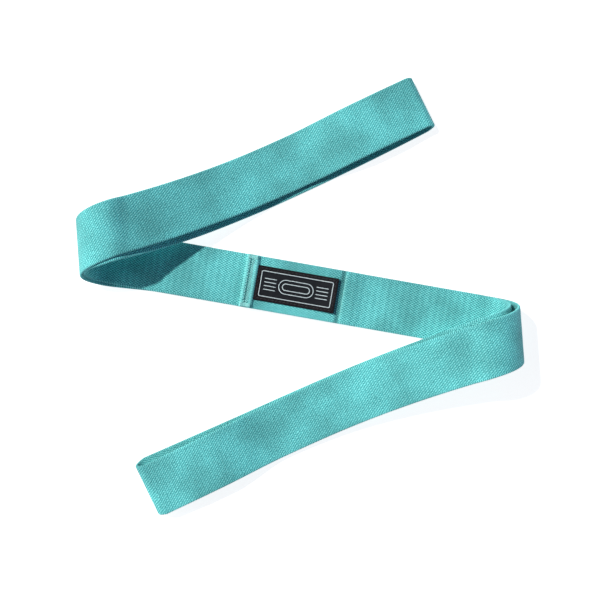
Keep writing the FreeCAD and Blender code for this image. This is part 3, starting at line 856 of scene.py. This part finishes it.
def webbing_material():
    """Woven elastic. Two faces of one weave: short slanted floats, and a lattice of dots."""
    n = Nodes("woven_elastic")
    strip = n.add("ShaderNodeAttribute", attribute_name="strip", attribute_type="GEOMETRY")
    parts = n.add("ShaderNodeSeparateXYZ")
    n.link(strip.outputs["Vector"], parts.inputs[0])
    flat = n.add("ShaderNodeCombineXYZ")
    n.link(parts.outputs["X"], flat.inputs["X"])
    n.link(parts.outputs["Y"], flat.inputs["Y"])
    place = flat.outputs[0]
    s, v, dots = parts.outputs["X"], parts.outputs["Y"], parts.outputs["Z"]
    wander = n.math("SUBTRACT", n.noise(place, 160.0, 1.0), 0.5)
    jitter = n.math("SUBTRACT", n.noise(place, 700.0, 1.0), 0.5)
    moved_s = n.math("ADD", s, n.math("MULTIPLY", wander, WANDER))
    moved_v = n.math("ADD", v, n.math("MULTIPLY", jitter, JITTER))
    a = n.math("MULTIPLY", moved_s, 2 * math.pi / CELL_ALONG)
    b = n.math("MULTIPLY", moved_v, 2 * math.pi / CELL_ACROSS)
    wave = 0.0
    for angle, twill, lattice in (  # each wave's strength on the two faces
        (n.math("ADD", a, b), 0.95, 1.10),
        (n.math("SUBTRACT", a, b), 0.32, 1.10),
        (b, 0.28, 0.0),
        (n.math("MULTIPLY", a, 2.0), 0.28, 0.0),
        (a, 0.22, 0.0),
        (n.math("MULTIPLY", a, 0.525), 0.0, 0.20),
    ):
        strength = n.math("MULTIPLY_ADD", dots, lattice - twill, twill)
        wave = n.math("MULTIPLY_ADD", n.math("COSINE", angle), strength, wave)
    yarn = n.math("SUBTRACT", n.noise(place, 760.0, 2.0, 0.6), 0.5)
    weave = n.math("MULTIPLY_ADD", wave, 0.36, 0.5)
    weave = n.math("MULTIPLY_ADD", yarn, 1.1, weave)
    ticks = n.math("COSINE", n.math("MULTIPLY", s, 2 * math.pi / (SELVEDGE_PITCH * MM)))
    ticks = n.math("MULTIPLY_ADD", ticks, 0.5, 0.48)
    selvedge = n.step(n.math("ABSOLUTE", v), SELVEDGE_FROM, SELVEDGE_TO)
    inverse = n.math("SUBTRACT", 1.0, selvedge)
    ticks = n.math("MULTIPLY", ticks, selvedge)
    relief = n.math("ADD", n.math("MULTIPLY", weave, inverse), ticks)
    colour = n.ramp(relief, COTTON)
    patches = n.step(n.noise(place, 24.0, 2.0, 0.5), 0.30, 0.70, 0.74, 1.12)
    fleck = n.step(n.noise(place, 420.0, 3.0, 0.7), 0.25, 0.75, 0.90, 1.10)
    # The pale attribute is painted light from the seam: above 0 it mixes in the painted highlight
    # colour, below 0 it darkens the colour as painted shade.
    pale = n.add("ShaderNodeAttribute", attribute_name="pale", attribute_type="GEOMETRY")
    pale = pale.outputs["Fac"]
    painted_shade = n.math("MULTIPLY_ADD", n.math("MINIMUM", pale, 0.0), 0.6, 1.0)
    shade = n.math("MULTIPLY", n.math("MULTIPLY", patches, fleck), painted_shade)
    tone = n.add("ShaderNodeCombineColor")
    for name in ("Red", "Green", "Blue"):
        n.link(shade, tone.inputs[name])
    colour = n.mix("MULTIPLY", 1.0, colour, tone.outputs[0])
    colour = n.mix("MIX", n.math("MAXIMUM", pale, 0.0), colour, PAINTED_HIGHLIGHT_COLOUR)
    n.link(colour, n.shader.inputs["Base Color"])
    fuzz = n.noise(place, 2600.0, 2.0, 0.6)
    n.bump(n.math("MULTIPLY_ADD", fuzz, 0.25, relief), 0.55, 0.32 * MM)
    principled(n, {
        "Roughness": 0.82,
        "Sheen Weight": 0.12,
        "Sheen Roughness": 0.45,
        "Sheen Tint": (0.75, 1.0, 0.98, 1.0),
        "Specular IOR Level": 0.25,
    })
    return n.material


def thread_material(name, dark, light, roughness):
    """Twisted sewing thread."""
    n = Nodes(name)
    place = n.add("ShaderNodeTexCoord").outputs["Object"]
    twist = n.add("ShaderNodeTexWave", wave_type="BANDS", bands_direction="DIAGONAL")
    n.link(place, twist.inputs["Vector"])
    twist.inputs["Scale"].default_value = 520.0
    twist.inputs["Distortion"].default_value = 2.5
    fleck = n.noise(place, 1500.0, 2.0, 0.6)
    relief = n.math("MULTIPLY_ADD", twist.outputs["Fac"], 0.6, n.math("MULTIPLY", fleck, 0.4))
    n.link(n.ramp(relief, ((0.15, dark), (0.85, light))), n.shader.inputs["Base Color"])
    n.bump(relief, 0.5, 0.08 * MM)
    principled(n, {"Roughness": roughness, "Sheen Weight": 0.15, "Specular IOR Level": 0.35})
    return n.material


def label_material():
    """Moulded rubber, dark slate in the field and nearly black on the border."""
    n = Nodes("moulded_rubber")
    field = n.add("ShaderNodeAttribute", attribute_name="field", attribute_type="GEOMETRY")
    place = n.add("ShaderNodeTexCoord").outputs["Object"]
    grain = n.noise(place, 1400.0, 3.0, 0.6)
    dust = n.step(n.noise(place, 120.0, 3.0, 0.6), 0.45, 0.75)
    slate = n.ramp(grain, ((0.3, (0.0050, 0.0062, 0.0088)), (0.7, (0.0090, 0.0108, 0.0145))))
    border = n.ramp(grain, ((0.3, (0.0020, 0.0014, 0.0022)), (0.7, (0.0048, 0.0036, 0.0048))))
    # The crests of the border's ribs are painted lighter: a painted highlight where light catches
    # them.
    rib = n.add("ShaderNodeAttribute", attribute_name="rib", attribute_type="GEOMETRY")
    border = n.mix("MIX", n.step(rib.outputs["Fac"], 0.45, 0.9), border, (0.016, 0.014, 0.017))
    colour = n.mix("MIX", field.outputs["Fac"], border, slate)
    colour = n.mix("MIX", n.math("MULTIPLY", dust, 0.05), colour, (0.10, 0.11, 0.12))
    n.link(colour, n.shader.inputs["Base Color"])
    n.bump(grain, 0.35, 0.05 * MM)
    principled(n, {"Roughness": 0.72, "Specular IOR Level": 0.16})
    return n.material


def line_material():
    """The raised lines of the label, in pale grey."""
    n = Nodes("pale_line")
    place = n.add("ShaderNodeTexCoord").outputs["Object"]
    wear = n.noise(place, 420.0, 3.0, 0.6)
    grey = ((0.30, (0.48, 0.56, 0.57)), (0.62, (0.66, 0.76, 0.77)), (0.85, (0.74, 0.83, 0.84)))
    n.link(n.ramp(wear, grey), n.shader.inputs["Base Color"])
    n.bump(n.noise(place, 1600.0, 2.0, 0.6), 0.3, 0.05 * MM)
    principled(n, {"Roughness": 0.5, "Specular IOR Level": 0.4})
    return n.material


PALE = thread_material("seam_sewing_thread", (0.14, 0.56, 0.54), (0.42, 0.86, 0.82), 0.6)
BLACKS = (0.0050, 0.0045, 0.0055), (0.020, 0.018, 0.021)
DARK = thread_material("label_sewing_thread", *BLACKS, 0.55)
RUBBER, LINES = label_material(), line_material()
for piece, finish in (
    (label_face, RUBBER),
    (frame_line, LINES),
    (emblem_loops, LINES),
    (emblem_bars, LINES),
    (label_threads, DARK),
    (seam_threads, PALE),
    (bartacks, PALE),
):
    piece.data.materials.append(finish)

WOVEN = webbing_material()
for piece, flat in webbing:
    piece.data.materials.append(WOVEN)

# ---------------------------------------------------------------- floor, light and camera

CAMERA_DISTANCE = 0.8775
CAMERA_ELEVATION = 89.343
CAMERA_SWING = -5.09       # where the camera leans from straight above, from the picture's foot
PICTURE_TURN = 9.97        # the picture's right-hand direction, in the row frame
LOOK_AT = Vector((0.00177, -0.00146, 0.0))
FOCAL_SHARE = 1.7217       # focal length as a share of the picture's width
SENSOR = 36.0
FLOOR_HALF = 12.0
FLOOR_LEVEL = -0.0001      # just under the band, so that the two don't flicker
FLOOR_GREYS = ((0.0, (0.40, 0.40, 0.40)), (1.0, (0.44, 0.44, 0.44)))
FLOOR_GLOW = 0.86
SKY, SKY_STRENGTH = (0.60, 0.70, 1.0, 1.0), 0.20
SUNS = (                   # name, energy, colour, spread, azimuth, elevation
    ("key", 3.30, (1.0, 0.985, 0.95), 2.5, 146.0, 53.5),
    ("fill_left", 1.10, (1.0, 0.99, 0.96), 40.0, 178.0, 20.0),
    ("fill_right", 0.22, (0.25, 0.50, 1.0), 40.0, -12.0, 14.0),
)


def add_floor():
    """A plain pale floor with a weak glow of its own."""
    mesh = bpy.data.meshes.new("floor")
    corners = ((-1, -1), (1, -1), (1, 1), (-1, 1))
    points = [(x * FLOOR_HALF, y * FLOOR_HALF, FLOOR_LEVEL) for x, y in corners]
    mesh.from_pydata(points, [], [(0, 1, 2, 3)])
    floor = bpy.data.objects.new("floor", mesh)
    bpy.context.scene.collection.objects.link(floor)
    n = Nodes("pale_floor")
    place = n.add("ShaderNodeTexCoord").outputs["Object"]
    n.link(n.ramp(n.noise(place, 3.0), FLOOR_GREYS), n.shader.inputs["Base Color"])
    glow = {"Emission Color": (1.0, 1.0, 1.0, 1.0), "Emission Strength": FLOOR_GLOW}
    principled(n, {"Roughness": 0.9, **glow})
    mesh.materials.append(n.material)


def add_sun(name, energy, colour, spread, azimuth, elevation):
    """A far light, its azimuth counted from the picture's right."""
    sun = bpy.data.lights.new(name, "SUN")
    sun.energy = energy
    sun.color = colour
    sun.angle = math.radians(spread)
    lamp = bpy.data.objects.new(name, sun)
    azimuth, elevation = math.radians(PICTURE_TURN + azimuth), math.radians(elevation)
    level = math.cos(elevation)
    towards = Vector((math.cos(azimuth) * level, math.sin(azimuth) * level, math.sin(elevation)))
    lamp.rotation_mode = "QUATERNION"
    lamp.rotation_quaternion = towards.to_track_quat("Z", "Y")
    lamp.location = towards
    bpy.context.scene.collection.objects.link(lamp)


def add_light():
    world = bpy.data.worlds.new("studio")
    world.use_nodes = True
    background = world.node_tree.nodes["Background"]
    background.inputs["Color"].default_value = SKY
    background.inputs["Strength"].default_value = SKY_STRENGTH
    bpy.context.scene.world = world
    for sun in SUNS:
        add_sun(*sun)


def add_camera():
    """Almost straight above the band, turned so that the middle run slopes down to the right."""
    elevation, swing = math.radians(CAMERA_ELEVATION), math.radians(CAMERA_SWING)
    level = math.cos(elevation)
    back = Vector((level * math.sin(swing), -level * math.cos(swing), math.sin(elevation)))
    turn = Matrix.Rotation(math.radians(PICTURE_TURN), 3, "Z")
    right = Vector((1.0, 0.0, 0.0))
    right = (right - back * right.dot(back)).normalized()
    up = back.cross(right)
    axes = [turn @ v for v in (right, up, back)]
    data = bpy.data.cameras.new("camera")
    data.sensor_width = SENSOR
    data.lens = SENSOR * FOCAL_SHARE
    data.clip_start, data.clip_end = 0.05, 20.0
    camera = bpy.data.objects.new("camera", data)
    matrix = Matrix(axes).transposed().to_4x4()
    matrix.translation = LOOK_AT + axes[2] * CAMERA_DISTANCE
    camera.matrix_world = matrix
    bpy.context.scene.collection.objects.link(camera)
    bpy.context.scene.camera = camera


add_floor()
add_light()
add_camera()
bpy.context.scene.view_settings.view_transform = "Standard"
